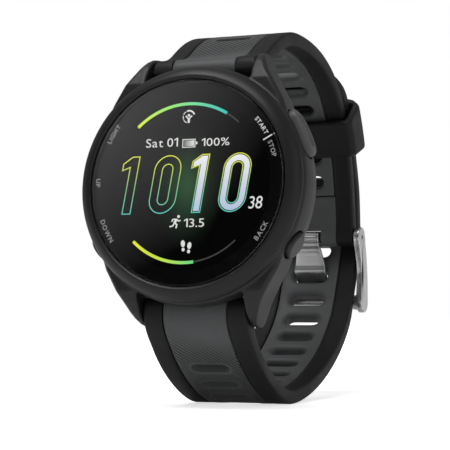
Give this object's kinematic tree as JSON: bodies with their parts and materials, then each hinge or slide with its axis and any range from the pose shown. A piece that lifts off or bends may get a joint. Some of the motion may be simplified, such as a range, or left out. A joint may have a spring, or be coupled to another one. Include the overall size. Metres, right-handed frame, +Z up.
{
  "type": "running watch",
  "caption": "Round digital running watch with five side buttons, dark display under glass, and a two-tone silicone strap closed by a pin buckle and a keeper.",
  "frame": {"origin": "centre of the footprint of the closed watch, on the ground it stands on", "axes": "+Z up; the face looks towards -Y and leans back 5.4 degrees; +X to the right of someone reading the watch"},
  "size_m": [0.0446, 0.075, 0.0719],
  "materials": {
    "antenna_ring": "plated strip",
    "battery": "foil pouch",
    "bezel": "fibre-reinforced polymer, fine matt grain",
    "buckle_frame": "brushed",
    "buckle_pin": "brushed",
    "buckle_tongue": "brushed",
    "button_back": "moulded cap",
    "button_down": "moulded cap",
    "button_light": "moulded cap",
    "button_seal_back": "nitrile ring",
    "button_seal_down": "nitrile ring",
    "button_seal_light": "nitrile ring",
    "button_seal_start": "nitrile ring",
    "button_seal_up": "nitrile ring",
    "button_start": "moulded cap, knurled band on the start button",
    "button_switch_back": "tactile switch",
    "button_switch_down": "tactile switch",
    "button_switch_light": "tactile switch",
    "button_switch_start": "tactile switch",
    "button_switch_up": "tactile switch",
    "button_up": "moulded cap",
    "buzzer": "brass disc with ceramic",
    "case_middle": "fibre-reinforced polymer, fine matt grain",
    "charge_contact_1": "gold plated pin",
    "charge_contact_2": "gold plated pin",
    "charge_contact_3": "gold plated pin",
    "charge_contact_4": "gold plated pin",
    "chassis": "pressed sheet",
    "display_module": "lit display under its cover",
    "front_glass": "polished strengthened glass",
    "keeper": "silicone, fine matt skin",
    "main_board": "solder resist over glass laminate",
    "rear_cover": "fibre-reinforced polymer, fine matt grain",
    "rear_gasket": "nitrile ring",
    "rear_screw_1": "brushed",
    "rear_screw_2": "brushed",
    "rear_screw_3": "brushed",
    "rear_screw_4": "brushed",
    "sensor_board": "solder resist over glass laminate",
    "sensor_window": "dark tinted lens",
    "spring_bar_bottom": "brushed",
    "spring_bar_top": "brushed",
    "strap_lower": "silicone, fine matt skin",
    "strap_lower_core": "silicone, fine matt skin with hatched band",
    "strap_upper": "silicone, fine matt skin",
    "strap_upper_core": "silicone, fine matt skin with hatched band",
    "vibration_motor": "coin motor"
  },
  "bodies": {
    "case_body": {"antenna_ring": "antenna_ring", "battery": "battery", "bezel": "bezel", "button_seal_back": "button_seal_back", "button_seal_down": "button_seal_down", "button_seal_light": "button_seal_light", "button_seal_start": "button_seal_start", "button_seal_up": "button_seal_up", "button_switch_back": "button_switch_back", "button_switch_down": "button_switch_down", "button_switch_light": "button_switch_light", "button_switch_start": "button_switch_start", "button_switch_up": "button_switch_up", "buzzer": "buzzer", "case_middle": "case_middle", "charge_contact_1": "charge_contact_1", "charge_contact_2": "charge_contact_2", "charge_contact_3": "charge_contact_3", "charge_contact_4": "charge_contact_4", "chassis": "chassis", "display_module": "display_module", "front_glass": "front_glass", "main_board": "main_board", "rear_cover": "rear_cover", "rear_gasket": "rear_gasket", "rear_screw_1": "rear_screw_1", "rear_screw_2": "rear_screw_2", "rear_screw_3": "rear_screw_3", "rear_screw_4": "rear_screw_4", "sensor_board": "sensor_board", "sensor_window": "sensor_window", "spring_bar_bottom": "spring_bar_bottom", "spring_bar_top": "spring_bar_top", "vibration_motor": "vibration_motor"},
    "strap_upper_body": {"strap_upper": "strap_upper", "strap_upper_core": "strap_upper_core"},
    "strap_lower_body": {"strap_lower": "strap_lower", "strap_lower_core": "strap_lower_core"},
    "keeper_body": {"keeper": "keeper"},
    "buckle_body": {"buckle_frame": "buckle_frame", "buckle_pin": "buckle_pin"},
    "tongue_body": {"buckle_tongue": "buckle_tongue"},
    "button_light_body": {"button_light": "button_light"},
    "button_up_body": {"button_up": "button_up"},
    "button_down_body": {"button_down": "button_down"},
    "button_back_body": {"button_back": "button_back"},
    "button_start_body": {"button_start": "button_start"}
  },
  "joints": [
    {"name": "press_light", "type": "slide", "parent": "case_body", "child": "button_light_body", "axis": [0.866, -0.0472, -0.4978], "range_m": [0, 0.0005], "stiffness_N_per_m": 900, "springref_m": -0.0005},
    {"name": "press_up", "type": "slide", "parent": "case_body", "child": "button_up_body", "axis": [1, 0, 0], "range_m": [0, 0.0005], "stiffness_N_per_m": 900, "springref_m": -0.0005},
    {"name": "press_down", "type": "slide", "parent": "case_body", "child": "button_down_body", "axis": [0.866, 0.0472, 0.4978], "range_m": [0, 0.0005], "stiffness_N_per_m": 900, "springref_m": -0.0005},
    {"name": "press_back", "type": "slide", "parent": "case_body", "child": "button_back_body", "axis": [-0.866, 0.0472, 0.4978], "range_m": [0, 0.0005], "stiffness_N_per_m": 900, "springref_m": -0.0005},
    {"name": "press_start", "type": "slide", "parent": "case_body", "child": "button_start_body", "axis": [-0.9063, -0.0399, -0.4207], "range_m": [0, 0.0005], "stiffness_N_per_m": 900, "springref_m": -0.0005},
    {"name": "strap_upper_swing", "type": "hinge", "parent": "case_body", "child": "strap_upper_body", "pos_m": [0, -0.02489, 0.06204], "axis": [1, 0, 0], "range_deg": [0, 75]},
    {"name": "strap_lower_swing", "type": "hinge", "parent": "case_body", "child": "strap_lower_body", "pos_m": [0, -0.02909, 0.01784], "axis": [-1, 0, 0], "range_deg": [0, 60], "deforming": ["strap_lower", "strap_lower_core"]},
    {"name": "keeper_slide", "type": "slide", "parent": "strap_upper_body", "child": "keeper_body", "axis": [0, 0.4403, -0.8979], "range_m": [-0.002, 0.002]},
    {"name": "buckle_swing", "type": "hinge", "parent": "strap_upper_body", "child": "buckle_body", "pos_m": [0, 0.03222, 0.03356], "axis": [1, 0, 0], "range_deg": [0, 60]},
    {"name": "tongue_swing", "type": "hinge", "parent": "buckle_body", "child": "tongue_body", "pos_m": [0, 0.03222, 0.03356], "axis": [1, 0, 0], "range_deg": [0, 75]}
  ]
}
